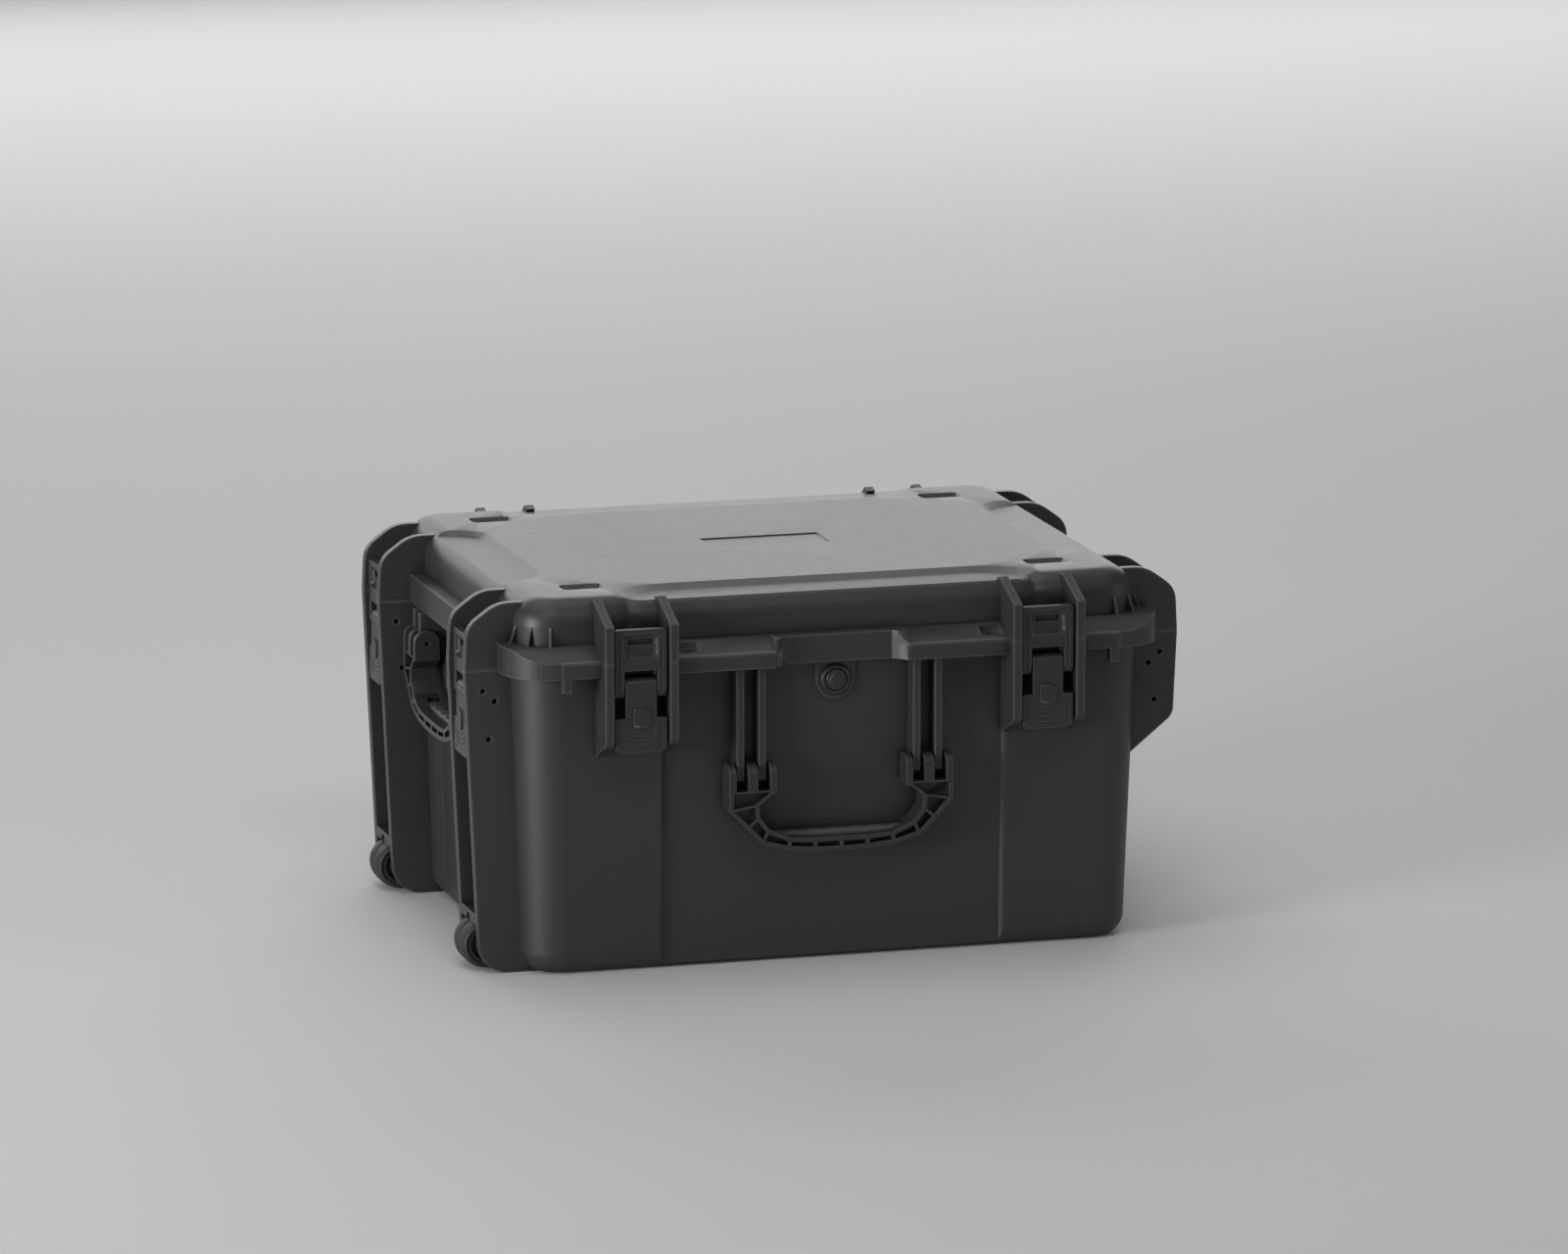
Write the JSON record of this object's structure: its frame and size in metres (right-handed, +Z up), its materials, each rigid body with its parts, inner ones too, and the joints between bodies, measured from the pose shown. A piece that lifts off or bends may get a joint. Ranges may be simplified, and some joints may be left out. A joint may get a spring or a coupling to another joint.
{
  "type": "wheeled laptop hard case",
  "caption": "Wheeled hard case with a rear-hinged lid, draw latches, drop handles, a pressure valve and a foam lining slotted for laptops",
  "frame": {"origin": "centre of the base's underside", "axes": "+X along the length with the wheels at -X, front with the valve and front handle at -Y, +Z up"},
  "size_m": [0.708, 0.5694, 0.3636],
  "materials": {
    "shell": "satin moulded polypropylene, fine grain",
    "trim": "satin glass-filled nylon",
    "grip": "soft overmoulded grip",
    "foam": "open-cell foam, cut faces",
    "seal": "extruded rubber seal",
    "tyre": "solid polyurethane tyre",
    "pin": "blackened steel pins"
  },
  "bodies": {
    "base": {"base_tub": "shell", "base_rim": "shell", "base_left_guards": "shell", "base_right_guards": "shell", "base_latch_ears": "shell", "base_hinge_ears": "shell", "handle_ribs": "shell", "foam_floor": "foam", "foam_side_walls": "foam", "foam_dividers": "foam", "rim_seal": "seal", "valve_body": "trim", "latch_pins": "pin", "handle_pins": "pin", "hinge_pins": "pin", "wheel_axles": "pin", "wheel_brackets": "trim"},
    "lid": {"lid_shell": "shell", "lid_rim": "shell", "lid_left_guards": "shell", "lid_right_guards": "shell", "lid_latch_ears": "shell", "lid_hinge_ears": "shell", "lid_catches": "shell", "lid_foam": "foam"},
    "front_handle": {"front_handle_frame": "trim", "front_handle_grip": "grip"},
    "left_handle": {"left_handle_frame": "trim", "left_handle_grip": "grip"},
    "right_handle": {"right_handle_frame": "trim", "right_handle_grip": "grip"},
    "front_left_lever": {"front_left_lever": "trim", "front_left_link_pin": "pin"},
    "front_left_link": {"front_left_link": "trim"},
    "front_left_button": {"front_left_button": "trim"},
    "front_right_lever": {"front_right_lever": "trim", "front_right_link_pin": "pin"},
    "front_right_link": {"front_right_link": "trim"},
    "front_right_button": {"front_right_button": "trim"},
    "left_front_lever": {"left_front_lever": "trim", "left_front_link_pin": "pin"},
    "left_front_link": {"left_front_link": "trim"},
    "left_front_button": {"left_front_button": "trim"},
    "left_rear_lever": {"left_rear_lever": "trim", "left_rear_link_pin": "pin"},
    "left_rear_link": {"left_rear_link": "trim"},
    "left_rear_button": {"left_rear_button": "trim"},
    "right_front_lever": {"right_front_lever": "trim", "right_front_link_pin": "pin"},
    "right_front_link": {"right_front_link": "trim"},
    "right_front_button": {"right_front_button": "trim"},
    "right_rear_lever": {"right_rear_lever": "trim", "right_rear_link_pin": "pin"},
    "right_rear_link": {"right_rear_link": "trim"},
    "right_rear_button": {"right_rear_button": "trim"},
    "front_wheel": {"front_wheel_hub": "trim", "front_wheel_tyre": "tyre"},
    "rear_wheel": {"rear_wheel_hub": "trim", "rear_wheel_tyre": "tyre"},
    "valve_knob": {"valve_knob": "trim"}
  },
  "joints": [
    {"name": "lid_hinge", "type": "hinge", "parent": "base", "child": "lid", "pos_m": [0, 0.2795, 0.318], "axis": [-1, 0, 0], "range_deg": [0, 105]},
    {"name": "front_handle_pivot", "type": "hinge", "parent": "base", "child": "front_handle", "pos_m": [0, -0.25495, 0.1885], "axis": [-1, 0, 0], "range_deg": [0, 100]},
    {"name": "left_handle_pivot", "type": "hinge", "parent": "base", "child": "left_handle", "pos_m": [-0.32334, 0, 0.2656], "axis": [0, 1, 0], "range_deg": [0, 100]},
    {"name": "right_handle_pivot", "type": "hinge", "parent": "base", "child": "right_handle", "pos_m": [0.32334, 0, 0.2656], "axis": [0, -1, 0], "range_deg": [0, 100]},
    {"name": "front_left_lever_pivot", "type": "hinge", "parent": "base", "child": "front_left_lever", "pos_m": [-0.2008, -0.2671, 0.2892], "axis": [-1, 0, 0], "range_deg": [0, 70]},
    {"name": "front_left_link_pivot", "type": "hinge", "parent": "front_left_lever", "child": "front_left_link", "pos_m": [-0.2008, -0.2557, 0.279], "axis": [-1, 0, 0], "range_deg": [-80, 0]},
    {"name": "front_left_button_slide", "type": "slide", "parent": "front_left_lever", "child": "front_left_button", "axis": [0, 1, 0], "range_m": [0, 0.0025], "stiffness_N_per_m": 400},
    {"name": "front_right_lever_pivot", "type": "hinge", "parent": "base", "child": "front_right_lever", "pos_m": [0.2008, -0.2671, 0.2892], "axis": [-1, 0, 0], "range_deg": [0, 70]},
    {"name": "front_right_link_pivot", "type": "hinge", "parent": "front_right_lever", "child": "front_right_link", "pos_m": [0.2008, -0.2557, 0.279], "axis": [-1, 0, 0], "range_deg": [-80, 0]},
    {"name": "front_right_button_slide", "type": "slide", "parent": "front_right_lever", "child": "front_right_button", "axis": [0, 1, 0], "range_m": [0, 0.0025], "stiffness_N_per_m": 400},
    {"name": "left_front_lever_pivot", "type": "hinge", "parent": "base", "child": "left_front_lever", "pos_m": [-0.3364, -0.1723, 0.2747], "axis": [0, 1, 0], "range_deg": [0, 70]},
    {"name": "left_front_link_pivot", "type": "hinge", "parent": "left_front_lever", "child": "left_front_link", "pos_m": [-0.325, -0.1723, 0.2645], "axis": [0, 1, 0], "range_deg": [-80, 0]},
    {"name": "left_front_button_slide", "type": "slide", "parent": "left_front_lever", "child": "left_front_button", "axis": [1, 0, 0], "range_m": [0, 0.0025], "stiffness_N_per_m": 400},
    {"name": "left_rear_lever_pivot", "type": "hinge", "parent": "base", "child": "left_rear_lever", "pos_m": [-0.3364, 0.1723, 0.2747], "axis": [0, 1, 0], "range_deg": [0, 70]},
    {"name": "left_rear_link_pivot", "type": "hinge", "parent": "left_rear_lever", "child": "left_rear_link", "pos_m": [-0.325, 0.1723, 0.2645], "axis": [0, 1, 0], "range_deg": [-80, 0]},
    {"name": "left_rear_button_slide", "type": "slide", "parent": "left_rear_lever", "child": "left_rear_button", "axis": [1, 0, 0], "range_m": [0, 0.0025], "stiffness_N_per_m": 400},
    {"name": "right_front_lever_pivot", "type": "hinge", "parent": "base", "child": "right_front_lever", "pos_m": [0.3364, -0.1723, 0.2747], "axis": [0, -1, 0], "range_deg": [0, 70]},
    {"name": "right_front_link_pivot", "type": "hinge", "parent": "right_front_lever", "child": "right_front_link", "pos_m": [0.325, -0.1723, 0.2645], "axis": [0, -1, 0], "range_deg": [-80, 0]},
    {"name": "right_front_button_slide", "type": "slide", "parent": "right_front_lever", "child": "right_front_button", "axis": [-1, 0, 0], "range_m": [0, 0.0025], "stiffness_N_per_m": 400},
    {"name": "right_rear_lever_pivot", "type": "hinge", "parent": "base", "child": "right_rear_lever", "pos_m": [0.3364, 0.1723, 0.2747], "axis": [0, -1, 0], "range_deg": [0, 70]},
    {"name": "right_rear_link_pivot", "type": "hinge", "parent": "right_rear_lever", "child": "right_rear_link", "pos_m": [0.325, 0.1723, 0.2645], "axis": [0, -1, 0], "range_deg": [-80, 0]},
    {"name": "right_rear_button_slide", "type": "slide", "parent": "right_rear_lever", "child": "right_rear_button", "axis": [-1, 0, 0], "range_m": [0, 0.0025], "stiffness_N_per_m": 400},
    {"name": "front_wheel_spin", "type": "hinge", "parent": "base", "child": "front_wheel", "pos_m": [-0.3306, -0.1723, 0.0244], "axis": [0, 1, 0], "continuous": true},
    {"name": "rear_wheel_spin", "type": "hinge", "parent": "base", "child": "rear_wheel", "pos_m": [-0.3306, 0.1723, 0.0244], "axis": [0, 1, 0], "continuous": true},
    {"name": "valve_turn", "type": "hinge", "parent": "base", "child": "valve_knob", "pos_m": [0, -0.245, 0.2748], "axis": [0, -1, 0], "range_deg": [0, 270]}
  ],
  "couplings": [
    {"joint": "front_left_link_pivot", "follows": "front_left_lever_pivot", "ratio": -1.06},
    {"joint": "front_right_link_pivot", "follows": "front_right_lever_pivot", "ratio": -1.06},
    {"joint": "left_front_link_pivot", "follows": "left_front_lever_pivot", "ratio": -1.06},
    {"joint": "left_rear_link_pivot", "follows": "left_rear_lever_pivot", "ratio": -1.06},
    {"joint": "right_front_link_pivot", "follows": "right_front_lever_pivot", "ratio": -1.06},
    {"joint": "right_rear_link_pivot", "follows": "right_rear_lever_pivot", "ratio": -1.06}
  ]
}
